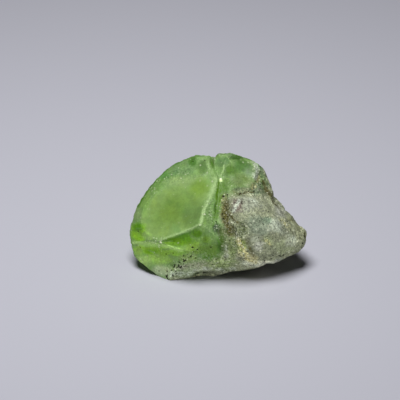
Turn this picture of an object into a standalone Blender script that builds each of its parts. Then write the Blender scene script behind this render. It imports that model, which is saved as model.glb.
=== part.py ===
"""Raw peridot: one broken lump of peridot crystal, partly covered by a weathered rind.

The lump is one solid. Its corners are joined into the broken surfaces of the real stone: one great
shell-shaped scar, the rim round it, the smaller scars under it, a channel and a groove that run down from
a notch in the crown, and the lumpy rind that makes the stone's blunt nose. Subdivision rounds each surface
and keeps the arrises between them, as hard as their two surfaces make them.
"""

import math

import bmesh
import bpy
from mathutils import Vector

MM = 0.001

# The stone's best side leans back, so its corners are measured square on to a viewer who looks down on it.
LOOK_DOWN = math.radians(30)
VIEW_CENTRE_HEIGHT = 6.0

SUBDIVISIONS = 2
# A hollow surface is a shallow dish: a ring of corners part of the way in, and its middle.
RING_WAY_IN = 0.42
RING_DEPTH_SHARE = 1 - (1 - RING_WAY_IN) ** 2
SOFT_ARRIS = 0.5

PERIDOT_GREEN = (0.28, 0.42, 0.12, 1.0)
PERIDOT_ROUGHNESS = 0.38
PERIDOT_IOR = 1.67

# Corners on the side that shows, in millimetres: across to the right, up, and out towards the viewer.
SEEN_CORNERS = {
    # The outline, clockwise from the left tip
    "left_tip": (-11.0, -1.4, -1.2),
    "left_brow": (-10.1, 1.5, -1.5),
    "left_shoulder": (-8.15, 4.65, -1.7),
    "crown_left": (-5.4, 6.9, -1.8),
    "crown": (-2.7, 8.0, -1.6),
    "notch_left": (-1.0, 7.9, -1.2),
    "notch": (-0.3, 7.3, -1.0),
    "notch_right": (0.6, 8.1, -1.2),
    "peak": (2.2, 8.3, -1.4),
    "crown_right": (4.8, 7.3, -1.4),
    "right_shoulder": (6.35, 5.85, -1.4),
    "neck": (7.15, 3.5, -1.3),
    "saddle": (7.85, 1.6, -1.2),
    "nose_back": (9.6, 0.45, -1.2),
    "nose_top": (11.1, -1.25, -0.8),
    "nose": (11.4, -2.9, -0.2),
    "nose_under": (10.5, -4.3, 0.3),
    "belly_right": (7.8, -5.4, 0.9),
    "belly": (4.6, -6.2, 1.2),
    "belly_left": (1.2, -6.95, 1.2),
    "arch": (-1.9, -6.9, 1.0),
    "left_under": (-8.8, -6.2, 0.5),
    "left_foot": (-10.3, -5.2, -0.3),
    "left_wall": (-10.9, -3.1, -1.1),
    # The edge of the great scar
    "scar_top_left": (-6.5, 4.1, 0.5),
    "scar_top": (-2.7, 5.3, 1.3),
    "scar_top_right": (-0.8, 5.5, 1.6),
    "scar_right": (-0.25, 3.9, 2.6),
    "scar_waist": (-1.45, 1.5, 4.0),
    "scar_corner": (-2.0, -0.6, 5.2),
    "scar_low": (-4.9, -2.25, 4.4),
    "scar_foot": (-7.6, -2.85, 2.9),
    "scar_left": (-9.5, -1.3, 1.0),
    "scar_upper_left": (-9.5, 0.9, 0.1),
    "scar_brow": (-8.5, 2.6, 0.0),
    # The channel under the notch and the groove below it
    "rib": (-0.95, 6.2, 0.7),
    "channel": (-0.35, 6.3, 0.1),
    "channel_foot": (0.35, 4.9, 1.6),
    "groove": (0.2, 2.7, 2.9),
    "groove_low": (-0.2, 0.2, 4.0),
    "groove_end": (-0.4, -1.3, 4.8),
    # The right lobe of the crown
    "chip_left": (1.1, 7.35, -0.1),
    "chip_top": (1.7, 7.75, -0.4),
    "chip_right": (2.0, 6.9, 0.1),
    "chip_foot": (0.85, 6.2, 0.9),
    "lobe_right": (5.0, 6.7, -0.4),
    "lobe_foot": (4.3, 4.9, 1.3),
    # The ledge over the rind, and the rind's own lumps
    "ledge_left": (0.9, 2.5, 3.1),
    "ledge": (2.6, 3.1, 2.9),
    "ledge_right": (5.0, 3.3, 1.9),
    "rind_edge": (0.6, 0.6, 4.0),
    "rind_edge_low": (0.5, -1.2, 4.6),
    "lump_top_left": (2.0, 2.4, 4.5),
    "lump_top": (4.3, 2.2, 4.6),
    "lump_top_right": (6.6, 1.5, 3.2),
    "nose_ridge": (8.8, -0.5, 1.9),
    "nose_tip": (10.6, -2.1, 1.2),
    "lump_left": (1.8, 0.3, 5.2),
    "lump_left_low": (2.5, -2.5, 5.1),
    "lump_middle": (4.9, -0.8, 5.8),
    "lump_right": (7.9, -2.0, 4.1),
    "lump_foot": (4.3, -4.8, 3.7),
    "nose_foot": (7.7, -4.4, 2.7),
    "nose_cheek": (9.9, -3.6, 1.8),
    # The front wall below the great scar
    "knuckle": (0.0, -2.5, 4.9),
    "wall_right": (1.4, -4.2, 4.0),
    "wall_foot": (1.2, -5.6, 2.9),
    "wall_foot_left": (-1.6, -5.5, 3.0),
    "wall_middle": (-1.4, -2.7, 4.9),
    "pit_line_top": (-2.9, -4.2, 4.2),
    "pit_line": (-3.9, -5.2, 3.3),
    "wedge_tip": (-4.7, -3.9, 4.1),
}

# Corners on the table and at the back, in millimetres: across, away from the viewer, and above the table.
TABLE_CORNERS = {
    "toe_left": (-7.3, -4.2, 0.0),
    "toe": (-5.9, -5.15, 0.0),
    "toe_right": (-3.8, -4.75, 0.0),
    "base_arch": (-2.0, -3.7, 0.0),
    "heel": (-0.4, -4.2, 0.0),
    "base_right": (3.0, -2.4, 0.0),
    "base_back_right": (3.4, 2.2, 0.0),
    "base_back": (-1.5, 4.0, 0.0),
    "base_back_left": (-6.0, 2.6, 0.0),
    "base_left": (-8.0, -1.2, 0.0),
    "under_nose": (7.6, 0.2, 1.9),
    "back_top": (-1.2, 6.8, 9.7),
    "back_step": (1.6, 6.6, 7.6),
    "back_waist": (0.6, 7.2, 4.4),
    "back_spur": (-4.4, 7.4, 6.4),
    "back_heel": (-0.6, 6.4, 1.1),
    "back_foot_left": (-5.0, 5.5, 1.3),
    "back_left": (-8.5, 4.5, 5.2),
    "back_left_low": (-8.7, 3.2, 2.5),
    "back_right_top": (5.1, 5.8, 7.7),
    "back_right": (6.8, 4.6, 4.7),
    "back_right_low": (5.4, 4.2, 1.7),
    "back_nose": (9.5, 2.2, 3.4),
}

# Each broken surface: how hard its arrises are, how deep it is hollowed in millimetres, and its faces.
SURFACES = {
    "great_scar": (0.9, 0.4, [
        "scar_top_left scar_top scar_top_right scar_right scar_waist scar_corner"
        " scar_low scar_foot scar_left scar_upper_left scar_brow",
    ]),
    "rim": (0.9, 0.0, [
        "left_tip left_brow scar_upper_left scar_left",
        "left_brow left_shoulder scar_brow scar_upper_left",
        "left_shoulder crown_left scar_top_left scar_brow",
        "crown_left crown scar_top scar_top_left",
        "crown notch_left rib scar_top_right scar_top",
    ]),
    "left_facet": (0.9, 0.1, ["left_tip scar_left scar_foot left_wall"]),
    "left_wall_facet": (0.9, 0.15, [
        "left_wall scar_foot wedge_tip pit_line_top pit_line toe toe_left left_under left_foot",
    ]),
    "wedge": (0.9, 0.3, ["scar_foot scar_low scar_corner wall_middle pit_line_top wedge_tip"]),
    "front_wall": (0.7, 0.2, [
        "scar_corner groove_end knuckle wall_right wall_foot wall_foot_left pit_line"
        " pit_line_top wall_middle",
    ]),
    "foot_band": (0.6, 0.0, [
        "pit_line wall_foot_left wall_foot belly_left heel arch toe_right toe",
    ]),
    "channel_left": (0.9, 0.0, [
        "notch_left notch channel rib",
        "rib channel channel_foot scar_right scar_top_right",
    ]),
    "groove_left": (0.9, 0.0, [
        "scar_right channel_foot groove scar_waist",
        "scar_waist groove groove_low scar_corner",
        "scar_corner groove_low groove_end",
    ]),
    "channel_right": (0.9, 0.0, [
        "notch notch_right chip_left chip_foot channel_foot channel",
    ]),
    "chip": (0.9, 0.0, ["chip_left chip_top chip_right chip_foot"]),
    "crown_edge": (0.7, 0.0, [
        "notch_right peak chip_top chip_left",
        "peak crown_right lobe_right chip_right chip_top",
    ]),
    "lobe": (0.8, 0.2, [
        "chip_foot chip_right lobe_right lobe_foot ledge_right ledge ledge_left channel_foot",
    ]),
    "groove_right": (0.7, 0.0, [
        "channel_foot ledge_left groove",
        "groove ledge_left rind_edge groove_low",
        "groove_low rind_edge rind_edge_low groove_end",
    ]),
    "shoulder": (0.5, 0.1, [
        "crown_right right_shoulder neck ledge_right lobe_foot lobe_right",
    ]),
    "rind_ledge": (0.55, 0.0, [
        "ledge_left ledge lump_top lump_top_left",
        "ledge ledge_right lump_top_right lump_top",
        "neck saddle lump_top_right ledge_right",
    ]),
    "rind_brow": (0.55, 0.0, [
        "saddle nose_back nose_ridge lump_top_right",
        "nose_back nose_top nose_tip nose_ridge",
        "nose_top nose nose_tip",
    ]),
    "rind_recess": (0.6, 0.0, [
        "ledge_left rind_edge lump_left lump_top_left",
        "rind_edge rind_edge_low lump_left_low lump_left",
        "rind_edge_low groove_end knuckle wall_right lump_left_low",
    ]),
    "rind_face": (0.5, 0.0, [
        "lump_top_left lump_top lump_middle lump_left",
        "lump_top lump_top_right lump_right lump_middle",
        "lump_top_right nose_ridge lump_right",
        "nose_ridge nose_tip nose_cheek lump_right",
        "lump_left lump_middle lump_foot lump_left_low",
        "lump_middle lump_right nose_foot lump_foot",
        "lump_right nose_cheek nose_foot",
    ]),
    "rind_belly": (0.5, 0.0, [
        "wall_foot wall_right lump_left_low lump_foot belly belly_left",
        "lump_foot nose_foot belly_right belly",
        "nose_foot nose_cheek nose_under belly_right",
        "nose_cheek nose_tip nose nose_under",
    ]),
    "base": (1.0, 0.0, [
        "toe_left toe toe_right base_arch heel base_right base_back_right base_back"
        " base_back_left base_left",
    ]),
    "underside": (0.5, 0.0, [
        "toe_right arch heel base_arch",
        "toe_left left_under left_foot base_left",
        "heel belly_left belly base_right",
        "belly belly_right nose_under under_nose base_right",
        "base_right under_nose back_right_low base_back_right",
        "nose nose_under under_nose",
        "nose_top nose under_nose back_nose",
        "back_nose under_nose back_right_low back_right",
    ]),
    "back_foot": (0.6, 0.1, [
        "base_back_right back_right_low back_heel base_back",
        "base_back back_heel back_foot_left base_back_left",
    ]),
    "back_left_foot": (0.7, 0.15, [
        "base_back_left back_foot_left back_left_low left_wall left_foot base_left",
    ]),
    "back_side": (0.8, 0.15, ["left_tip left_brow back_left back_left_low left_wall"]),
    "back_left_scar": (0.8, 0.4, ["left_brow left_shoulder crown_left back_spur back_left"]),
    "back_low_scar": (0.8, 0.4, [
        "back_left back_spur back_waist back_heel back_foot_left back_left_low",
    ]),
    "back_great_scar": (0.9, 0.55, ["crown_left crown back_top back_step back_waist back_spur"]),
    "back_notch": (0.7, 0.0, [
        "crown notch_left notch back_top",
        "notch notch_right peak back_step back_top",
    ]),
    "back_rind": (0.4, 0.0, [
        "peak crown_right right_shoulder back_right_top back_step",
        "right_shoulder neck back_right back_right_top",
        "neck saddle back_right",
        "saddle nose_back back_nose back_right",
        "nose_back nose_top back_nose",
        "back_step back_right_top back_right back_right_low back_heel back_waist",
    ]),
}

RIND_SURFACES = ("shoulder", "rind_ledge", "rind_brow", "rind_recess", "rind_face", "rind_belly",
                 "underside", "back_rind")
RIND_LUMP_SIZE = 1.8
RIND_RELIEF = 1.2


def seen_place(across, up, out):
    """Turns a corner measured square on to the viewer into millimetres over the table."""
    away = up * math.sin(LOOK_DOWN) - out * math.cos(LOOK_DOWN)
    height = up * math.cos(LOOK_DOWN) + out * math.sin(LOOK_DOWN) + VIEW_CENTRE_HEIGHT
    return Vector((across, away, height))


def corner_places():
    places = {name: seen_place(*corner) for name, corner in SEEN_CORNERS.items()}
    for name, corner in TABLE_CORNERS.items():
        places[name] = Vector(corner)
    return places


def add_surfaces(bm):
    """Adds every face, and returns the surface that each belongs to."""
    verts = {name: bm.verts.new(place * MM) for name, place in corner_places().items()}
    surface_of = {}
    for surface, (_, _, outlines) in SURFACES.items():
        for outline in outlines:
            face = bm.faces.new([verts[name] for name in outline.split()])
            surface_of[face] = surface
    return surface_of


def set_arrises(bm, surface_of):
    """Creases each edge between two surfaces by the softer of the two, and leaves a surface's own edges soft."""
    crease = bm.edges.layers.float.new("crease_edge")
    for edge in bm.edges:
        first, second = (surface_of[face] for face in edge.link_faces)
        if first == second:
            continue
        hardness = min(SURFACES[first][0], SURFACES[second][0])
        edge[crease] = 1.0 if "base" in (first, second) else hardness
        edge.smooth = edge[crease] < SOFT_ARRIS


def weigh_rind(bm, surface_of):
    """Weighs each corner by how many of its faces are rind, in the first vertex group."""
    group = bm.verts.layers.deform.verify()
    for vert in bm.verts:
        rind = [surface_of[face] in RIND_SURFACES for face in vert.link_faces]
        on_base = any(surface_of[face] == "base" for face in vert.link_faces)
        vert[group][0] = 0.0 if on_base else sum(rind) / len(rind)


def hollow_surfaces(bm, surface_of):
    """Sinks the middle of each hollow face, as a shell-shaped fracture does."""
    crease = bm.edges.layers.float["crease_edge"]
    for face, surface in surface_of.items():
        depth = SURFACES[surface][1] * MM
        if depth == 0:
            continue
        middle = face.calc_center_median()
        inward = -face.normal
        bmesh.ops.inset_individual(bm, faces=[face], thickness=0)
        for edge in face.edges:
            edge[crease] = 0.0
            edge.smooth = True
        for vert in face.verts:
            vert.co = vert.co.lerp(middle, RING_WAY_IN) + inward * depth * RING_DEPTH_SHARE
        centre = bmesh.ops.poke(bm, faces=[face])["verts"][0]
        centre.co = middle + inward * depth


def stone_mesh():
    bm = bmesh.new()
    surface_of = add_surfaces(bm)
    set_arrises(bm, surface_of)
    weigh_rind(bm, surface_of)
    bmesh.ops.recalc_face_normals(bm, faces=bm.faces)
    hollow_surfaces(bm, surface_of)
    for face in bm.faces:
        face.smooth = True
    mesh = bpy.data.meshes.new("raw_peridot")
    bm.to_mesh(mesh)
    bm.free()
    return mesh


def peridot_material():
    material = bpy.data.materials.new("peridot")
    material.use_nodes = True
    shader = material.node_tree.nodes["Principled BSDF"]
    shader.inputs["Base Color"].default_value = PERIDOT_GREEN
    shader.inputs["Roughness"].default_value = PERIDOT_ROUGHNESS
    shader.inputs["IOR"].default_value = PERIDOT_IOR
    return material


def stand_over_origin(stone):
    """Moves the stone so that the origin is under the middle of its box, on the table."""
    bpy.context.view_layer.update()
    corners = [Vector(c) for c in stone.evaluated_get(bpy.context.evaluated_depsgraph_get()).bound_box]
    for axis in (0, 1):
        low = min(corner[axis] for corner in corners)
        high = max(corner[axis] for corner in corners)
        for vert in stone.data.vertices:
            vert.co[axis] -= (low + high) / 2


def add_rounding(stone):
    rounding = stone.modifiers.new("rounding", "SUBSURF")
    rounding.levels = SUBDIVISIONS
    rounding.render_levels = SUBDIVISIONS


def add_rind_lumps(stone):
    clouds = bpy.data.textures.new("rind_lumps", "CLOUDS")
    clouds.noise_scale = RIND_LUMP_SIZE * MM
    clouds.noise_depth = 1
    lumps = stone.modifiers.new("rind_lumps", "DISPLACE")
    lumps.texture = clouds
    lumps.vertex_group = "rind"
    lumps.strength = RIND_RELIEF * MM


def build():
    for obj in list(bpy.data.objects):
        bpy.data.objects.remove(obj)
    stone = bpy.data.objects.new("raw_peridot", stone_mesh())
    bpy.context.scene.collection.objects.link(stone)
    stone.vertex_groups.new(name="rind")
    stone.data.materials.append(peridot_material())
    add_rounding(stone)
    add_rind_lumps(stone)
    stand_over_origin(stone)
    return stone


build()
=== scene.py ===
# %% [markdown]
# # Raw peridot
#
# This file gives a lump of rough peridot its looks. The solid that comes in has the stone's size and
# its broken surfaces. What is added here is everything finer: chipped arrises, faint ripples in the
# great scar, a grainy rind, small pits, and a material that is clear green crystal in one place,
# frosted in another and dull stone where the rind covers it.
#
# All places on the stone are written in millimetres as they appear in the picture: across to the right,
# and up. The stone is looked down on, so a place is dropped onto its surface along the line of sight.

# %% Load the stone's solid
import math

import bmesh
import bpy
import numpy as np
from mathutils import Euler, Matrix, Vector
from mathutils.bvhtree import BVHTree
from mathutils.kdtree import KDTree


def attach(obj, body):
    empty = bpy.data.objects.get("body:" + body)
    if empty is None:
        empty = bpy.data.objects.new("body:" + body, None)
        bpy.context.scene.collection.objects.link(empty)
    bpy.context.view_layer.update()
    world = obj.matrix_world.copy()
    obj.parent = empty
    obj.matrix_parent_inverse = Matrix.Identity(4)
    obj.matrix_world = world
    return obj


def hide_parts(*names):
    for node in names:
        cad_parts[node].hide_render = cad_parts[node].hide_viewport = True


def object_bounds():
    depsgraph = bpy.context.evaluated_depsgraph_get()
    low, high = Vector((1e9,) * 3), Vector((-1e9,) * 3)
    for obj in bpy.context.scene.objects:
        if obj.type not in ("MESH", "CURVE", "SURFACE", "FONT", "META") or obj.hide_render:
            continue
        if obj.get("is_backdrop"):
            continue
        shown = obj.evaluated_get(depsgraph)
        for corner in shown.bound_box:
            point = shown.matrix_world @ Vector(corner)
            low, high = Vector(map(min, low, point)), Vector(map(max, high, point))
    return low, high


MM = 0.001
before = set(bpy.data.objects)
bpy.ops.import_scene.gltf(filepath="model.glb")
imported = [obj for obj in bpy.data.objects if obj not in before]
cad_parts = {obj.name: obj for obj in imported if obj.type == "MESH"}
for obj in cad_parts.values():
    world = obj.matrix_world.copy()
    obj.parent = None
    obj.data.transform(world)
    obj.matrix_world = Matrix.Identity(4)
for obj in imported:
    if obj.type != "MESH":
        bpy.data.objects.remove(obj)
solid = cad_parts["raw_peridot"]
solid_box = [list(corner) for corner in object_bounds()]
print("solid, mm:", [round((high - low) / MM, 1) for low, high in zip(*solid_box)])

# %% [markdown]
# ## The line of sight
#
# The picture looks down at 30 degrees. Three unit vectors turn a place in the picture into a place on
# the stone: across, up and out towards the eye. The middle of the stone's picture is a point inside the
# stone.

# %% Set the line of sight
LOOK_DOWN = math.radians(30)
ACROSS = Vector((1, 0, 0))
UP = Vector((0, math.sin(LOOK_DOWN), math.cos(LOOK_DOWN)))
OUT = Vector((0, -math.cos(LOOK_DOWN), math.sin(LOOK_DOWN)))
STONE_MIDDLE = Vector((-0.117, -0.778, 6.0)) * MM
# Millimetres out from the stone's middle, well clear of the stone
START_OUT = 50

solid_points = [vert.co for vert in solid.data.vertices]
solid_tree = BVHTree.FromPolygons(solid_points, [face.vertices for face in solid.data.polygons])


def picture_place(across, up, out):
    """A place in metres, from millimetres across, up and out as the picture has them."""
    return STONE_MIDDLE + (ACROSS * across + UP * up + OUT * out) * MM


def out_of_stone(across, up):
    """How far out, in millimetres, the stone's surface is at a place in the picture."""
    hit, _, _, distance = solid_tree.ray_cast(picture_place(across, up, START_OUT), -OUT)
    return 0.0 if hit is None else START_OUT - distance / MM


print("middle of the picture is", round(out_of_stone(0, 0), 2), "mm out")

# %% [markdown]
# ## The skin
#
# Broken crystal has smooth surfaces that meet in sharp arrises. The solid's loose triangles are joined
# into one skin, every edge that turns sharply is creased, and two rounds of subdivision make the skin
# fine enough to carry relief a few tenths of a millimetre wide while the creased arrises stay sharp.

# %% Make the skin
JOIN_DISTANCE = 0.001 * MM
FLAT_ANGLE = math.radians(10)
SKEW_ANGLE = math.radians(60)
ARRIS_ANGLE = math.radians(20)
SKIN_ROUNDS = 2


def stone_cage():
    """A joined copy of the solid's triangles, with its sharp edges creased."""
    cage = bpy.data.meshes.new("stone_cage")
    bm = bmesh.new()
    bm.from_mesh(solid.data)
    bmesh.ops.remove_doubles(bm, verts=bm.verts, dist=JOIN_DISTANCE)
    bmesh.ops.join_triangles(
        bm, faces=bm.faces, angle_face_threshold=FLAT_ANGLE, angle_shape_threshold=SKEW_ANGLE)
    crease = bm.edges.layers.float.new("crease_edge")
    for edge in bm.edges:
        edge[crease] = float(edge.calc_face_angle(0) > ARRIS_ANGLE)
    bm.to_mesh(cage)
    bm.free()
    return cage


def evaluated_mesh(obj):
    """A plain copy of an object's mesh as its modifiers leave it."""
    depsgraph = bpy.context.evaluated_depsgraph_get()
    return bpy.data.meshes.new_from_object(obj.evaluated_get(depsgraph), depsgraph=depsgraph)


stone = bpy.data.objects.new("peridot_stone", stone_cage())
bpy.context.scene.collection.objects.link(stone)
arris_ends = [
    [stone.data.vertices[i].co.copy() for i in edge.vertices]
    for edge, crease in zip(stone.data.edges, stone.data.attributes["crease_edge"].data) if crease.value]
rounding = stone.modifiers.new("rounding", "SUBSURF")
rounding.levels = rounding.render_levels = SKIN_ROUNDS
skin = evaluated_mesh(stone)
stone.modifiers.clear()
stone.data = skin
print("skin:", len(skin.polygons), "faces,", len(arris_ends), "pieces of arris")

# %% [markdown]
# ## Where each kind of surface lies
#
# A stone's finish follows its surfaces, so each point of the skin is told how far it lies inside the
# great scar and the rind, how far from the nearest arris, how far it is turned from the eye, and which
# bands run over it. These numbers are kept on the mesh as named attributes, with lengths in
# millimetres. Both the relief and the material read them.

# %% Measure distances in the picture
points = np.array([vert.co for vert in skin.vertices])
normals = np.array([vert.normal for vert in skin.vertices])
from_middle = (points - np.array(STONE_MIDDLE)) / MM
seen = np.stack([from_middle @ np.array(ACROSS), from_middle @ np.array(UP)], axis=1)
towards_eye = normals @ np.array(OUT)
# The cosine of the angle between a normal and the line of sight below which a surface isn't seen
GRAZING = -0.05
front = towards_eye > GRAZING


def line_distance(line):
    """How far each point appears from a line through the listed places."""
    nearest = np.full(len(seen), np.inf)
    for start, end in zip(np.array(line[:-1]), np.array(line[1:])):
        run = end - start
        share = np.clip((seen - start) @ run / (run @ run), 0, 1)
        nearest = np.minimum(nearest, np.linalg.norm(seen - start - share[:, None] * run, axis=1))
    return nearest


def within(outline):
    """Whether each point appears inside a closed outline."""
    odd = np.zeros(len(seen), bool)
    for (x0, y0), (x1, y1) in zip(outline, outline[1:] + outline[:1]):
        if y0 != y1:
            spans = (y0 > seen[:, 1]) != (y1 > seen[:, 1])
            odd ^= spans & (seen[:, 0] < (x1 - x0) * (seen[:, 1] - y0) / (y1 - y0) + x0)
    return odd


def keep(name, values):
    """Keeps one number for each point of the skin under a name."""
    skin.attributes.new(name, "FLOAT", "POINT").data.foreach_set("value", values.astype(np.float32))
    print(f"{name}: {values.min():.2f} to {values.max():.2f}")


print(int(front.sum()), "of", len(front), "points are seen")

# %% [markdown]
# ## The scar and the rind
#
# The great scar is one smooth hollow where a flake broke away, so it is drawn as a closed outline. The
# rind is what is left of the rock that the crystal grew in. Its edge is a line that the eye sees on the
# front and another behind, and all that lies to the right of them is rind. A third number says how far
# a surface has turned away from the eye.

# %% Mark the great scar and the rind
GREAT_SCAR = [
    (-6.4, 4.0), (-4.8, 4.6), (-2.5, 5.2), (-1.1, 5.4), (-0.5, 4.8), (-0.4, 3.8), (-0.8, 2.7), (-1.5, 1.5),
    (-1.9, 0.4), (-2.0, -0.5), (-3.1, -1.5), (-5.0, -2.2), (-6.6, -2.6), (-7.5, -2.7), (-8.5, -2.4),
    (-9.3, -1.3), (-9.8, -0.2), (-9.5, 0.9), (-8.7, 2.0), (-7.6, 3.1)]
RIND_EDGE_SEEN = [
    (5.2, 7.4), (4.6, 5.4), (4.0, 3.9), (2.9, 3.1), (1.5, 3.0), (0.6, 2.2), (0.3, 0.4), (0.7, -1.3),
    (1.1, -2.8), (0.8, -4.3), (-0.4, -5.1), (-2.1, -5.3), (-4.0, -5.4), (-5.1, -6.0), (-6.3, -8.0)]
RIND_EDGE_BEHIND = [
    (5.2, 7.4), (3.6, 5.0), (2.4, 3.0), (1.0, 1.0), (0.6, -1.5), (-1.2, -3.6), (-3.8, -5.2), (-6.3, -8.0)]
FAR_RIGHT = [(14.0, -12.0), (14.0, 12.0), (5.2, 12.0)]
FAR_OUTSIDE = -9.0
BEHIND_FADE = 0.3


def depth_inside(line, outline):
    """How far each point appears inside an outline, from the given part of its edge."""
    return np.where(within(outline), 1, -1) * line_distance(line)


scar = np.where(front, depth_inside(GREAT_SCAR + GREAT_SCAR[:1], GREAT_SCAR), FAR_OUTSIDE)
rind = np.where(
    front,
    depth_inside(RIND_EDGE_SEEN, RIND_EDGE_SEEN + FAR_RIGHT),
    depth_inside(RIND_EDGE_BEHIND, RIND_EDGE_BEHIND + FAR_RIGHT))
keep("scar", scar)
keep("rind", rind)
keep("behind", np.clip((GRAZING - towards_eye) / BEHIND_FADE, 0, 1))

# %% [markdown]
# ## Arrises
#
# An arris is the edge where two breaks meet. The creased edges of the skin are known, so points along
# them go into a search tree, and each point of the skin asks it for the nearest.

# %% Mark the arrises
POINTS_ON_EDGE = 4
arris_tree = KDTree(POINTS_ON_EDGE * len(arris_ends))
for number, (start, end) in enumerate(arris_ends):
    for step in range(POINTS_ON_EDGE):
        arris_tree.insert(start.lerp(end, step / POINTS_ON_EDGE), POINTS_ON_EDGE * number + step)
arris_tree.balance()
keep("arris", np.array([arris_tree.find(point)[2] for point in points]) / MM)
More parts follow.
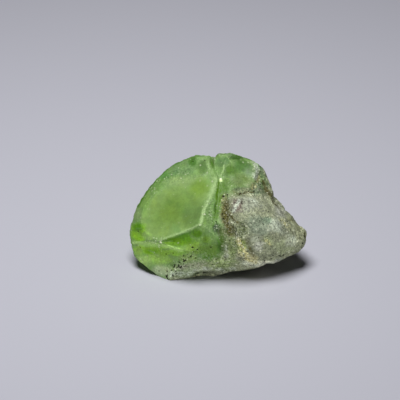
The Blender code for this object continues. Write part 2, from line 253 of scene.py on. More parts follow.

# %% [markdown]
# ## Bands
#
# Ridges, frosted edges, stains and deep green lines run across the stone as bands. Some bands are
# painted light and shade: the lit ridge and the glint are painted highlights, the sparkle band says
# where painted sparkles gather, and the shade band is painted shadow under the lifted front edge and
# painted dark lines along the top and left outline. A band is a few places joined by straight lines,
# and it fades to both sides like a bell. Dents and fills are bands too: they move the surface a little
# where the outline in the picture dips or bulges, and their strength is a depth in millimetres.

# %% Mark the bands
# Each line of a band: half its width, how strongly it shows, then the places that it runs through
BANDS = {
    "ridge": [
        (0.4, 0.7, [(-0.25, 4.9), (-0.25, 4.3), (-0.5, 3.4), (-0.85, 2.7)]),
        (0.22, 0.8, [(-0.85, 2.7), (-1.35, 1.7), (-1.72, 0.85), (-1.92, -0.2), (-2.0, -0.7)]),
        (0.35, 0.4, [(-0.25, 4.9), (-0.75, 5.9), (-1.2, 6.9)]),
        (0.18, 0.62, [(-1.95, -0.6), (-3.1, -1.25), (-4.8, -1.9), (-6.3, -2.42), (-7.3, -2.77)]),
        (0.12, 0.8, [(0.86, 6.6), (0.8, 6.0), (0.42, 5.3)]),
        (0.1, 0.4, [(1.2, 7.7), (1.8, 6.9), (1.1, 6.4)]),
        (0.1, 0.3, [(-0.2, 7.4), (-0.1, 5.8)]),
        (0.2, 0.35, [(-1.9, -0.8), (-0.9, -1.4), (-0.2, -2.2)]),
        (0.14, 0.4, [(-8.6, -4.0), (-8.0, -4.2), (-7.2, -4.8)]),
    ],
    "lit ridge": [
        # Painted highlight along the left ridge, where it catches the light
        (0.2, 1.0, [(-10.9, -3.1), (-9.4, -3.1), (-8.0, -3.1)]),
        (0.24, 0.75, [(-8.0, -3.1), (-7.2, -3.27), (-6.0, -3.52), (-4.4, -4.0)]),
    ],
    "frost": [
        (0.4, 0.65, [(4.7, 7.1), (5.0, 6.3), (4.7, 5.2)]),
        (0.4, 0.55, [(3.4, -5.5), (5.0, -5.9), (6.4, -5.7), (7.9, -5.2)]),
        (0.6, 0.5, [(-6.0, -6.9), (-4.2, -6.9), (-2.6, -6.6)]),
        (0.4, 0.4, [(-1.6, -6.3), (0.4, -6.5), (2.0, -6.3)]),
        (0.28, 0.8, [(2.7, 2.2), (2.35, 1.6), (2.0, 1.0)]),
        (0.3, 0.45, [(4.0, 2.5), (4.9, 1.9)]),
        (0.5, 0.4, [(7.0, -0.4), (8.2, -1.8), (9.6, -2.4)]),
        (0.3, 0.4, [(1.0, -3.2), (1.2, -4.6)]),
    ],
    "ochre": [
        (0.28, 1.0, [(2.65, -2.75), (3.0, -3.5), (3.3, -3.85), (3.6, -4.5), (3.9, -5.25), (4.8, -5.6)]),
        (0.5, 0.6, [(2.9, -4.3), (3.5, -4.9), (4.4, -5.4)]),
        (0.3, 0.6, [(6.1, -2.8), (6.5, -3.1)]),
        (0.3, 0.3, [(4.4, 3.6), (5.0, 4.3), (5.4, 5.2)]),
        (0.4, 0.3, [(8.0, -0.2), (9.0, -1.0)]),
        (0.2, 0.35, [(0.7, 2.2), (0.6, 1.2)]),
    ],
    "brown": [
        (0.45, 0.5, [(1.2, 2.9), (2.6, 3.1), (3.9, 3.5), (4.9, 4.6), (5.3, 5.8)]),
        (0.6, 0.8, [(0.95, 2.3), (0.95, 1.3), (0.9, 0.2), (1.2, -0.8), (1.7, -1.9)]),
        (0.12, 0.9, [(2.3, 3.1), (3.0, 3.0), (3.7, 3.2), (4.5, 3.2)]),
        (0.2, 0.8, [(1.5, 0.7), (1.9, -0.1), (2.65, -0.6)]),
        (0.35, 0.6, [(3.6, -2.9), (4.1, -3.9), (4.6, -4.8)]),
        (0.28, 0.9, [(5.8, 4.6), (6.1, 3.6), (6.7, 2.7), (7.5, 1.8)]),
        (0.4, 0.45, [(7.5, 1.8), (8.7, 0.2), (10.4, -1.3)]),
        (0.16, 0.9, [(10.9, -1.9), (11.2, -2.7)]),
    ],
    "deep": [
        (0.22, 0.6, [(-0.05, 1.4), (-0.15, 0.0)]),
        (0.2, 0.8, [
            (-9.9, 1.4), (-8.8, 3.3), (-7.4, 5.1), (-6.0, 6.35),
            (-4.0, 7.4), (-2.65, 7.8), (-1.75, 7.85)]),
        (0.2, 0.9, [(0.0, 7.8), (0.5, 8.0), (1.2, 8.1), (2.55, 7.9), (4.1, 7.5)]),
        (0.3, 0.45, [(-8.3, 3.4), (-7.2, 4.4), (-6.2, 5.4)]),
        (0.26, 0.6, [(-1.0, 7.5), (-0.75, 7.0), (-0.5, 6.4)]),
        (0.25, 0.5, [(0.0, -2.2), (0.3, -3.4), (0.0, -4.6)]),
        (0.14, 0.6, [(-3.0, -1.65), (-4.9, -2.32), (-6.3, -2.8)]),
    ],
    "strip": [
        (0.48, 0.9, [(0.4, 4.3), (0.3, 3.2), (0.25, 2.4)]),
        (0.44, 0.66, [(0.25, 2.4), (0.1, 1.6), (0.0, 0.8), (-0.15, 0.1)]),
    ],
    # Painted highlight: a small bright star where a face catches the light
    "painted glint": [
        (0.17, 1.1, [(0.44, 4.76), (0.46, 4.6)]),
    ],
    "gritty": [
        (0.8, 0.9, [(-5.2, -6.0), (-3.8, -5.0), (-2.0, -4.5), (-0.4, -5.2), (1.4, -5.0)]),
        (0.5, 0.9, [(-1.0, 1.8), (-0.9, 0.0), (0.0, -1.5)]),
        (0.45, 0.6, [(0.9, 3.0), (3.9, 3.2), (5.6, 4.6)]),
        (0.6, 0.4, [(0.9, 2.6), (0.9, 0.6), (1.5, -1.2)]),
        (0.7, 1.0, [(2.4, -2.4), (3.4, -4.6), (5.0, -5.6)]),
        (0.5, 0.5, [(-8.8, 4.0), (-6.2, 5.2), (-3.6, 6.0)]),
        (0.6, 0.5, [(0.8, 5.0), (2.2, 3.9)]),
    ],
    # Where painted sparkles gather: white flecks that stand for glints of small cleavage faces
    "sparkle": [
        (0.35, 1.0, [(-7.7, -2.8), (-7.1, -2.9)]),
        (0.3, 1.2, [(0.5, 4.9), (0.45, 4.5)]),
        (0.16, 1.2, [(-3.05, -4.9), (-2.9, -4.85)]),
        (0.14, 1.2, [(-7.2, -3.9), (-7.1, -3.85)]),
        (0.25, 0.6, [(-1.75, 0.6), (-2.0, -0.7)]),
        (0.45, 0.5, [(-1.0, 0.2), (-0.3, -1.3)]),
        (0.3, 0.4, [(0.7, 2.8), (0.4, 1.6)]),
        (0.6, 0.3, [(-5.0, -6.1), (-3.4, -4.7), (-2.4, -4.3)]),
        (0.35, 0.7, [(2.7, -2.8), (3.6, -4.5), (4.5, -5.5)]),
        (0.7, 0.3, [(2.4, 2.0), (2.2, 1.2)]),
        (0.6, 0.2, [(-8.8, 3.0), (-7.4, 4.6), (-5.4, 5.9)]),
        (0.5, 0.3, [(6.0, 2.6), (8.0, 0.4), (10.0, -1.4)]),
        (0.4, 0.8, [(8.4, -0.9), (8.8, -1.2)]),
        (0.4, 0.8, [(9.8, -2.9), (9.8, -3.4)]),
        (0.35, 0.6, [(6.2, -3.0), (6.6, -3.2)]),
        (0.35, 0.6, [(5.0, -3.3), (5.3, -3.7)]),
    ],
    "shade": [
        # Painted shadow under the lifted front edge, where the stone's own shadow falls
        (0.3, 1.0, [(-3.2, -7.85), (-2.4, -7.5), (-1.5, -7.4), (-0.6, -7.6), (0.4, -7.5)]),
        # Painted shade: thin dark lines along the top and left outline
        (0.16, 0.35, [(-0.2, 7.5), (0.5, 7.95), (1.2, 8.05), (2.5, 7.85), (4.1, 7.3)]),
        (0.16, 0.3, [
            (-9.9, 1.4), (-8.8, 3.3), (-7.4, 5.1), (-6.0, 6.35), (-4.0, 7.4), (-2.6, 7.8), (-1.3, 7.75)]),
    ],
    "dent": [
        (0.5, 0.45, [(-2.4, -7.3), (-1.6, -7.2), (-0.7, -7.3)]),
        (0.45, 0.4, [(7.4, 2.2), (8.1, 1.6)]),
    ],
    "fill": [
        (0.4, 0.35, [(-0.3, 7.6), (0.4, 7.8)]),
        (0.3, 0.12, [(-1.0, 7.6), (-0.5, 7.6)]),
        (0.35, 0.2, [(6.5, 3.5), (6.8, 3.0)]),
        (0.3, 0.2, [(10.6, -1.2), (10.8, -1.5)]),
    ],
}
for name, lines in BANDS.items():
    band = np.zeros(len(seen))
    for half_width, strength, line in lines:
        band = np.maximum(band, strength * np.exp(-(line_distance(line) / half_width) ** 2))
    keep(name, band * front)

# %% [markdown]
# ## Pits
#
# Dark pits lie in rows where softer grains have fallen out, most of them at the stone's foot. Each row
# says how dense they are, and a very small share lies everywhere.

# %% Mark where pits gather
# Each line of pits: how far it spreads, how dense it is, then the places that it runs through
PIT_LINES = {
    "foot": (0.45, 0.8, [(-6.1, -7.4), (-5.4, -6.66), (-4.7, -5.84), (-4.2, -5.3)]),
    "front": (0.45, 0.25, [(-4.2, -5.3), (-3.66, -4.9), (-2.84, -4.16)]),
    "ledge": (0.2, 0.2, [(2.2, 3.1), (3.4, 3.05), (4.7, 3.4)]),
    "nose": (0.14, 0.25, [(11.0, -2.0), (10.9, -3.4)]),
    "under the nose": (0.2, 0.35, [(8.5, -4.6), (6.6, -5.2), (5.6, -5.6)]),
    "belly": (0.3, 0.1, [(3.8, -5.6), (1.1, -6.6), (-0.5, -6.1)]),
    "recess": (0.5, 0.2, [(1.2, 2.4), (1.3, 0.6), (1.5, -0.5)]),
    "speckled facet": (0.4, 0.05, [(-0.7, 1.8), (-0.9, 0.0), (-0.2, -1.5)]),
}
STRAY_PITS = 0.0008
pit_share = np.full(len(seen), STRAY_PITS)
for spread, share, line in PIT_LINES.values():
    pit_share = np.maximum(pit_share, share * np.exp(-(line_distance(line) / spread) ** 2) * front)
keep("pit_share", pit_share)

# %% [markdown]
# ## Building node trees in code
#
# The relief and the material are both node trees. One helper adds any node and feeds its inputs: a
# socket is linked, and a plain value is set. Each of the others adds one common kind, such as Math, a
# smooth step, a mix or a noise.

# %% Helpers for node trees
def add(tree, kind, feeds=(), **settings):
    """Adds a node. Its inputs are fed in order from a list, or by name from a dict."""
    node = tree.nodes.new(kind)
    for name, value in settings.items():
        setattr(node, name, value)
    for key, value in feeds.items() if isinstance(feeds, dict) else enumerate(feeds):
        if isinstance(value, bpy.types.NodeSocket):
            tree.links.new(value, node.inputs[key])
        else:
            node.inputs[key].default_value = value
    return node


def calc(tree, operation, *values):
    return add(tree, "ShaderNodeMath", values, operation=operation).outputs[0]


def vector_calc(tree, operation, *values):
    node = add(tree, "ShaderNodeVectorMath", values, operation=operation)
    return node.outputs["Value" if operation in ("LENGTH", "DISTANCE") else "Vector"]


def mark(tree, name):
    """Reads one of the numbers that are kept on the mesh."""
    if tree.bl_idname == "GeometryNodeTree":
        return add(tree, "GeometryNodeInputNamedAttribute", {"Name": name}, data_type="FLOAT").outputs[0]
    return add(tree, "ShaderNodeAttribute", attribute_name=name).outputs["Fac"]


def blend_step(tree, value, low, high, low_gives=0.0, high_gives=1.0):
    """A smooth step between two values."""
    step = add(tree, "ShaderNodeMapRange", {
        "Value": value, "From Min": low, "From Max": high, "To Min": low_gives, "To Max": high_gives,
    }, interpolation_type="SMOOTHSTEP")
    return step.outputs[0]


def mix_colour(tree, share, first, second, blend="MIX"):
    node = add(tree, "ShaderNodeMix", {0: share, 6: first, 7: second}, data_type="RGBA", blend_type=blend)
    return node.outputs[2]


def mix_number(tree, share, first, second):
    return add(tree, "ShaderNodeMix", {0: share, 2: first, 3: second}, data_type="FLOAT").outputs[0]


def noise(tree, where, grain, detail=3.0, roughness=0.5):
    """Noise from 0 to 1. The place and the size of the grains are in millimetres."""
    linked = isinstance(grain, bpy.types.NodeSocket)
    scale = calc(tree, "DIVIDE", 1.0, grain) if linked else 1.0 / grain
    feeds = {"Vector": where, "Scale": scale, "Detail": detail, "Roughness": roughness}
    return add(tree, "ShaderNodeTexNoise", feeds).outputs[0]


# %% [markdown]
# ## Relief
#
# Olivine breaks like glass: a great scar has faint ripples that spread from where the blow fell,
# arrises are bitten by small chips, and the weathered rind is lumpy and grainy. All of it follows the
# surface, and so do the pits, so one Geometry Nodes tree does it. Its sizes are named inputs, in
# millimetres.

# %% Name the relief's sizes
RELIEF = {
    "Ripple Spacing": 1.1,
    "Ripple Depth": 0.006,
    "Hackle Size": 0.9,
    "Hackle Depth": 0.07,
    "Chip Size": 0.4,
    "Chip Depth": 0.07,
    "Rind Lump Size": 1.6,
    "Rind Lump Depth": 0.24,
    "Rind Grain Size": 0.3,
    "Rind Grain Depth": 0.14,
    "Crystal Swell": 0.06,
    "Rind Swell": 0.19,
    "Pits per mm2": 26.0,
    "Pit Radius": 0.15,
    "Pit Depth": 0.1,
}
PIT_GAP = 0.1
PIT_SEED = 11
# Places in the picture: where the blow fell that broke the scar off, and the top of the scar
BLOW = (1.5, 7.5)
SCAR_TOP = (-1.0, 5.0)
print(len(RELIEF), "relief sizes")

# %% [markdown]
# ## The relief tree
#
# Each kind of hollow is a pattern, a share that says where it lies, and a depth. The skin first swells
# a little and then has the hollows pressed into it along its normals, so that on the whole it keeps to
# the solid. The pits are points scattered with a fixed seed, and the distance to the nearest one says
# how deep a vertex is pressed. The relief fades out close to the table, where the stone rests flat,
# and every vertex is held inside the solid's box.

# %% Scatter the pits
def pit_pattern(tree, given, where):
    """From 1 in the middle of a pit to 0 outside, with pits of uneven sizes."""
    scatter = add(tree, "GeometryNodeDistributePointsOnFaces", {
        "Mesh": given["Geometry"],
        "Distance Min": PIT_GAP * MM,
        "Density Max": calc(tree, "MULTIPLY", given["Pits per mm2"], 1 / MM**2),
        "Density Factor": mark(tree, "pit_share"),
        "Seed": given["Seed"],
    }, distribute_method="POISSON")
    nearest = add(
        tree, "GeometryNodeProximity", {"Geometry": scatter.outputs["Points"]}, target_element="POINTS")
    from_pit = calc(tree, "DIVIDE", nearest.outputs["Distance"], MM)
    uneven = blend_step(tree, noise(tree, where, 0.4), 0.35, 0.65, 0.5, 1.5)
    radius = calc(tree, "MULTIPLY", given["Pit Radius"], uneven)
    return blend_step(tree, calc(tree, "DIVIDE", from_pit, radius), 0.35, 1.0, 1.0, 0.0)


# %% Build the relief tree
def relief_tree():
    tree = bpy.data.node_groups.new("stone_relief", "GeometryNodeTree")
    tree.interface.new_socket("Geometry", in_out="OUTPUT", socket_type="NodeSocketGeometry")
    kinds = {
        "Geometry": "Geometry", "Finish": "Material", "Blow": "Vector",
        "Low Corner": "Vector", "High Corner": "Vector", "Seed": "Int", **dict.fromkeys(RELIEF, "Float")}
    for name, kind in kinds.items():
        tree.interface.new_socket(name, in_out="INPUT", socket_type="NodeSocket" + kind)
    given = add(tree, "NodeGroupInput").outputs
    position = add(tree, "GeometryNodeInputPosition").outputs[0]
    where = vector_calc(tree, "MULTIPLY", position, (1 / MM,) * 3)
    in_rind = blend_step(tree, mark(tree, "rind"), -0.5, 0.6)
    in_scar = blend_step(tree, mark(tree, "scar"), 0.0, 0.8)
    near_arris = blend_step(tree, mark(tree, "arris"), 0.0, 0.4, 1.0, 0.0)
    plain_crystal = calc(
        tree, "MULTIPLY", calc(tree, "SUBTRACT", 1.0, in_rind), calc(tree, "SUBTRACT", 1.0, in_scar))

    from_blow = vector_calc(tree, "DISTANCE", where, given["Blow"])
    wander = calc(tree, "MULTIPLY", noise(tree, where, 2.5), 1.5)
    turn = calc(tree, "DIVIDE", calc(tree, "ADD", from_blow, wander), given["Ripple Spacing"])
    wave = calc(tree, "SINE", calc(tree, "MULTIPLY", turn, math.tau))
    ripple = calc(tree, "MULTIPLY_ADD", wave, 0.5, 0.5)
    chip = blend_step(tree, noise(tree, where, given["Chip Size"], 2.0), 0.42, 0.62)
    parts = [
        (ripple, in_scar, "Ripple Depth"),
        (noise(tree, where, given["Hackle Size"], 3.0, 0.6), plain_crystal, "Hackle Depth"),
        (chip, near_arris, "Chip Depth"),
        (noise(tree, where, given["Rind Lump Size"], 0.0), in_rind, "Rind Lump Depth"),
        (noise(tree, where, given["Rind Grain Size"], 2.0, 0.7), in_rind, "Rind Grain Depth"),
    ]
    hollow = 0.0
    for pattern, share, size in parts:
        hollow = calc(tree, "MULTIPLY_ADD", calc(tree, "MULTIPLY", pattern, share), given[size], hollow)
    swell = mix_number(tree, in_rind, given["Crystal Swell"], given["Rind Swell"])
    depth = calc(tree, "SUBTRACT", hollow, swell)
    pit = pit_pattern(tree, given, where)
    depth = calc(tree, "MULTIPLY_ADD", pit, given["Pit Depth"], depth)

    height = add(tree, "ShaderNodeSeparateXYZ", [where]).outputs[2]
    off_table = blend_step(tree, height, 0.0, 0.25)
    forms = calc(tree, "SUBTRACT", mark(tree, "dent"), mark(tree, "fill"))
    depth = calc(tree, "MULTIPLY_ADD", depth, off_table, forms)
    normal = add(tree, "GeometryNodeInputNormal").outputs[0]
    place = vector_calc(tree, "MULTIPLY_ADD", normal, calc(tree, "MULTIPLY", depth, -MM), position)
    place = vector_calc(tree, "MAXIMUM", place, given["Low Corner"])
    place = vector_calc(tree, "MINIMUM", place, given["High Corner"])

    geometry = given["Geometry"]
    for name, value in (("pit", pit), ("hollow", hollow)):
        feeds = {"Geometry": geometry, "Name": name, "Value": value}
        stored = add(tree, "GeometryNodeStoreNamedAttribute", feeds, data_type="FLOAT", domain="POINT")
        geometry = stored.outputs[0]
    for kind, feeds in (
        ("GeometryNodeSetPosition", {"Position": place}),
        ("GeometryNodeSetShadeSmooth", {}),
        ("GeometryNodeRealizeInstances", {}),
        ("GeometryNodeSetMaterial", {"Material": given["Finish"]}),
    ):
        geometry = add(tree, kind, {"Geometry": geometry, **feeds}).outputs[0]
    add(tree, "NodeGroupOutput", {"Geometry": geometry})
    print("relief tree:", len(tree.nodes), "nodes")
    return tree


# %% [markdown]
# ## Pressing the relief in
#
# Each input of the tree is set by its socket's identifier before the tree first runs. The result is
# kept as a plain mesh and the modifier is removed, so none is left live on the stone.

# %% Press the relief into the skin
peridot = bpy.data.materials.new("peridot")
blow_place = picture_place(*BLOW, out_of_stone(*SCAR_TOP))
relief = stone.modifiers.new("relief", "NODES")
relief.node_group = relief_tree()
relief_inputs = dict(RELIEF, Finish=peridot, Blow=tuple(blow_place / MM), Seed=PIT_SEED)
relief_inputs["Low Corner"], relief_inputs["High Corner"] = solid_box
for item in relief.node_group.interface.items_tree:
    if item.in_out == "INPUT" and item.name in relief_inputs:
        relief[item.identifier] = relief_inputs[item.name]
worn = evaluated_mesh(stone)
stone.modifiers.remove(relief)
stone.data = worn
pits = np.zeros(len(worn.vertices), np.float32)
worn.attributes["pit"].data.foreach_get("value", pits)
print("worn stone:", len(worn.vertices), "points,", int((pits > 0.5).sum()), "of them in pits")

# %% [markdown]
# ## Colour
#
# Seen in the picture, the crystal isn't one green. Where a surface is clean the eye looks into the
# stone and the green is deep. Where it is frosted or cracked the light comes back pale. So the colour
# is laid as soft patches, each at its place on the stone, with a colour and a clearness, over a middle
# green. The rind has patches of its own: ochre and brown where iron has stained it, white and blue-grey
# where it is clean.

# %% Name the colours
def screen(red, green, blue):
    """A colour as the eye reads it on a screen, made linear."""
    return tuple(((c / 255 + 0.055) / 1.055) ** 2.4 for c in (red, green, blue)) + (1.0,)


MIDDLE_GREEN = screen(130, 168, 94)
SCAR_GREEN = screen(112, 144, 66)
SCAR_EDGE_GREEN = screen(131, 163, 90)
CRYSTAL_CLEARNESS = 0.3
SCAR_CLEARNESS = 0.15
# Each patch: across, up, half width, half height, colour, clearness
# Partly painted light: the bright greens of the front faces, such as the wedge and those under the left
# facet, also stand for light that passes through the crystal from above.
CRYSTAL_PATCHES = {
    "scar, top": (-4.8, 4.6, 2.8, 0.8, screen(132, 160, 96), 0.1),
    "scar, lower right": (-3.0, 0.3, 1.8, 2.2, screen(102, 133, 67), 0.15),
    "scar, bright spot": (-2.2, 3.8, 1.3, 1.0, screen(122, 157, 64), 0.2),
    "scar, middle": (-5.4, 1.0, 1.4, 1.8, screen(111, 144, 60), 0.2),
    "rim, left": (-9.2, 2.2, 0.9, 2.2, screen(129, 169, 82), 0.2),
    "rim, middle": (-7.4, 4.2, 0.9, 0.8, screen(129, 170, 91), 0.3),
    "rim, upper": (-6.6, 5.4, 1.0, 0.7, screen(107, 160, 81), 0.3),
    "rim, top": (-4.6, 6.2, 2.2, 1.0, screen(116, 153, 89), 0.3),
    "rim, deep": (-3.0, 7.1, 0.6, 0.7, screen(81, 136, 27), 0.45),
    "rim, corner": (-10.0, 0.6, 0.7, 1.0, screen(138, 169, 103), 0.25),
    "above the scar": (-1.8, 6.4, 0.8, 1.0, screen(89, 127, 54), 0.3),
    "wedge": (-4.6, -2.9, 2.4, 0.8, screen(112, 164, 6), 0.35),
    "wedge, deep": (-3.9, -2.4, 0.7, 0.6, screen(110, 172, 1), 0.4),
    "wedge, right": (-2.5, -1.9, 0.9, 0.6, screen(98, 150, 5), 0.4),
    "left facet": (-9.8, -1.9, 1.3, 1.3, screen(147, 203, 45), 0.3),
    "left window": (-9.9, -1.15, 0.75, 0.6, screen(103, 167, 1), 0.4),
    "under the left facet": (-8.6, -3.9, 2.6, 0.7, screen(165, 216, 66), 0.3),
    "lower left": (-7.2, -5.0, 2.0, 0.9, screen(158, 200, 93), 0.25),
    "lower left, edge": (-9.2, -5.4, 1.2, 0.8, screen(166, 202, 111), 0.35),
    "middle of the front": (-5.0, -4.2, 1.4, 0.6, screen(152, 204, 72), 0.25),
    "speckled facet": (-1.0, 0.6, 0.5, 1.3, screen(116, 148, 85), 0.15),
    "strip": (0.2, 3.1, 0.45, 1.6, screen(88, 125, 28), 0.25),
    "strip, deep": (-0.1, 1.0, 0.35, 1.1, screen(42, 74, 3), 0.35),
    # Painted light: these two are lightened to take away the shade of a small step under the left ridge
    "left facet, right": (-8.75, -2.1, 0.7, 0.5, screen(155, 196, 98), 0.2),
    "under the left ridge": (-8.4, -3.35, 1.6, 0.3, screen(173, 221, 110), 0.15),
    "under the wedge ridge": (-6.5, -3.55, 0.7, 0.3, screen(168, 217, 84), 0.15),
    "under the scar": (-8.4, -2.55, 0.5, 0.35, screen(166, 204, 110), 0.15),
    "under left, deep": (-8.1, -4.15, 1.3, 0.4, screen(129, 190, 19), 0.3),
    "under left, tip": (-9.7, -4.2, 0.6, 0.6, screen(139, 174, 81), 0.25),
    "under the wedge": (-6.4, -4.3, 1.0, 0.5, screen(146, 192, 64), 0.25),
    "strip, low": (-0.1, -1.2, 0.6, 0.7, screen(37, 75, 4), 0.3),
    "strip, foot": (0.6, -1.8, 0.6, 0.7, screen(73, 93, 35), 0.15),
    "front, green": (-2.6, -3.8, 1.9, 0.8, screen(131, 168, 63), 0.3),
    "front, deep": (-0.7, -4.0, 1.3, 1.0, screen(113, 152, 53), 0.35),
    "front, low": (-0.8, -5.1, 1.8, 0.5, screen(85, 131, 34), 0.25),
    "front, right": (0.7, -3.2, 0.8, 1.3, screen(71, 102, 22), 0.2),
    "front, olive": (-3.6, -4.9, 1.3, 0.6, screen(143, 173, 89), 0.2),
    "beside the wedge": (-1.5, -2.7, 0.8, 0.7, screen(125, 165, 60), 0.3),
    "lobe, deep": (1.6, 6.0, 1.2, 0.8, screen(97, 139, 47), 0.4),
    "lobe": (3.0, 4.7, 1.6, 1.0, screen(115, 142, 77), 0.25),
    "lobe, green": (4.0, 6.0, 0.8, 0.9, screen(111, 141, 89), 0.25),
    "lobe, grey": (3.0, 3.5, 1.5, 0.5, screen(93, 112, 73), 0.1),
    "lobe, deep right": (3.0, 6.6, 1.0, 0.9, screen(84, 130, 46), 0.4),
    "lobe, left": (1.3, 4.2, 0.7, 0.9, screen(114, 151, 72), 0.3),
    "beside the strip": (0.9, 3.4, 0.5, 0.8, screen(90, 131, 35), 0.3),
    "corner, top": (1.1, 7.2, 0.6, 0.5, screen(91, 135, 65), 0.3),
    "peak, deep": (2.4, 7.6, 1.1, 0.4, screen(58, 102, 7), 0.45),
    "olive groove": (-0.6, 6.9, 0.4, 0.8, screen(100, 128, 65), 0.35),
    "notch corner": (0.5, 6.9, 0.8, 0.7, screen(104, 139, 80), 0.25),
    "foot, pale": (-6.8, -6.6, 1.4, 0.9, screen(168, 187, 141), 0.12),
}
RIND_GREY = screen(146, 152, 122)
# Each patch: across, up, half width, half height, colour
RIND_PATCHES = {
    "lump, top": (3.6, 1.9, 2.4, 1.2, screen(150, 156, 135)),
    "lump, top left": (2.4, 1.6, 0.9, 1.0, screen(120, 111, 99)),
    "recess": (0.9, 0.6, 0.8, 1.5, screen(64, 66, 34)),
    "recess, foot": (1.7, -1.6, 0.7, 0.8, screen(24, 45, 5)),
    "lump, middle": (5.1, -1.0, 2.0, 1.3, screen(142, 154, 129)),
    "lump, right": (7.2, -0.9, 1.3, 1.0, screen(173, 182, 159)),
    "lump, low right": (6.3, -2.8, 0.8, 0.7, screen(158, 169, 127)),
    "under the lump": (5.1, -3.4, 0.7, 0.8, screen(175, 179, 159)),
    "lower right": (8.2, -3.6, 1.8, 1.0, screen(158, 168, 129)),
    "ochre": (3.1, -3.3, 0.8, 1.0, screen(154, 171, 98)),
    "ochre, low": (4.3, -5.1, 0.9, 0.8, screen(194, 191, 141)),
    "left of the ochre": (1.8, -3.6, 0.8, 1.8, screen(132, 148, 96)),
    "shoulder": (5.3, 4.6, 1.2, 1.8, screen(110, 136, 84)),
    "shoulder, frost": (5.2, 6.3, 0.7, 1.1, screen(100, 122, 90)),
    "right edge": (7.8, 0.9, 0.9, 1.2, screen(153, 157, 141)),
    # Painted shade: the lump's lower left facet, turned from the light
    "lump, shade": (3.1, -1.4, 0.9, 1.0, screen(95, 104, 73)),
    "lump, hollow": (6.1, -0.2, 0.7, 0.6, screen(116, 134, 110)),
    "lump, foot": (4.8, -2.5, 0.7, 0.5, screen(172, 180, 154)),
    "ledge": (4.7, 3.6, 1.2, 0.8, screen(106, 120, 92)),
    "nose": (10.2, -1.8, 1.1, 1.4, screen(152, 157, 124)),
    "nose, pale": (9.2, -2.9, 0.8, 0.7, screen(192, 200, 171)),
    # Partly the rind's pale crust, partly painted light: the floor's bounce on the stone's underside
    "belly": (6.0, -5.7, 2.8, 0.5, screen(243, 243, 210)),
    "front": (0.6, -5.7, 2.2, 0.8, screen(142, 160, 103)),
    "foot": (-4.0, -6.8, 2.4, 0.7, screen(144, 161, 117)),
}
# Each green behind: colour, clearness, strength, and the noise values where it begins and is full
BEHIND_GREENS = [
    (screen(88, 138, 26), 0.35, 0.8, (0.5, 0.62)),
    (screen(172, 204, 128), 0.15, 0.7, (0.46, 0.34)),
]
# The stain behind: the same, without clearness
BEHIND_STAIN = (screen(150, 138, 92), 0.6, (0.5, 0.64))
PIT_COLOUR = screen(34, 34, 22)
YELLOW_TINT = screen(255, 250, 190)
BLUE_TINT = screen(222, 248, 255)
DARK_SPECKLE = screen(112, 118, 96)
PALE_SPECKLE = screen(226, 230, 212)
# The painted highlight of a sparkling fleck
SPARKLE_COLOUR = screen(242, 246, 214)
# Each band: colour, clearness, how ragged it is, and the strength that shows in full
BAND_LOOKS = {
    "deep": (screen(80, 134, 22), 0.35, 0.7, 1.0),
    "strip": (screen(88, 132, 18), 0.3, 0.4, 0.8),
    "brown": (screen(86, 84, 44), 0.0, 1.0, 1.0),
    "ochre": (screen(208, 203, 142), 0.0, 1.2, 1.0),
    "frost": (screen(196, 206, 186), 0.05, 1.0, 1.0),
    "ridge": (screen(154, 183, 121), 0.08, 0.6, 0.8),
    # Painted highlight of the lit ridge
    "lit ridge": (screen(172, 212, 118), 0.08, 0.5, 0.8),
    # Painted shadow and painted dark outline lines
    "shade": (screen(36, 42, 18), 0.1, 0.3, 0.7),
    # Painted highlight
    "painted glint": (screen(216, 240, 170), 0.0, 1.4, 1.0),
}

# %% [markdown]
# ## One material for the whole stone
#
# The stone is one piece, so it has one material, and the rind is no second skin. Each layer of the
# material has a function, from the crystal outwards, which gives back the colour so far, and the
# clearness if the layer changes it. Clearness says how much light goes through, and the rest is
# scattered back.
#
# A patch is a soft ellipsoid. The distance from its middle is measured in its own half sizes, a noise
# is added so that its edge wanders, and a smooth step turns it into the patch's share of the colour.

# %% Lay the patches
PATCH_HALF_DEPTH = 3.0
# In a patch's half sizes: how far it shows in full, and where it ends
PATCH_FULL = 0.45
PATCH_END = 1.25


def lay_patches(tree, where, base, patches, wobble):
    """Mixes patches over a base colour, and over a base clearness where the patches have one."""
    layers = list(base)
    for across, up, half_width, half_height, *values in patches.values():
        place = (across, -out_of_stone(across, up), up)
        sizes = (half_width, PATCH_HALF_DEPTH, half_height)
        away = vector_calc(tree, "DIVIDE", vector_calc(tree, "SUBTRACT", where, place), sizes)
        away = calc(tree, "ADD", vector_calc(tree, "LENGTH", away), wobble)
        share = blend_step(tree, away, PATCH_FULL, PATCH_END, 1.0, 0.0)
        layers[0] = mix_colour(tree, share, layers[0], values[0])
        if len(layers) == 2:
            layers[1] = mix_number(tree, share, layers[1], values[1])
    return layers


print(len(CRYSTAL_PATCHES), "patches on the crystal,", len(RIND_PATCHES), "on the rind")

# %% [markdown]
# ## The far side
#
# The picture gives no places behind the stone. There a slow noise decides where the crystal is a deep
# window and where it is frosted, and a quicker one where the rind is stained, so that the back is as
# lively as the front. Both show only where a surface is turned away from the eye.

# %% Find the far side's share
def far_side_share(tree, pattern, limits, strength):
    """How much of a look shows behind, where its pattern passes from the first limit to the second."""
    share = calc(tree, "MULTIPLY", mark(tree, "behind"), strength)
    return calc(tree, "MULTIPLY", share, blend_step(tree, pattern, *limits))


# %% [markdown]
# ## The crystal
#
# A middle green lies under everything, and the great scar has a green of its own that deepens inwards.
# The patches come over them, then soft clouds, thin streaks outside the scar, and one slow noise that
# leans the green towards yellow here and towards blue there.

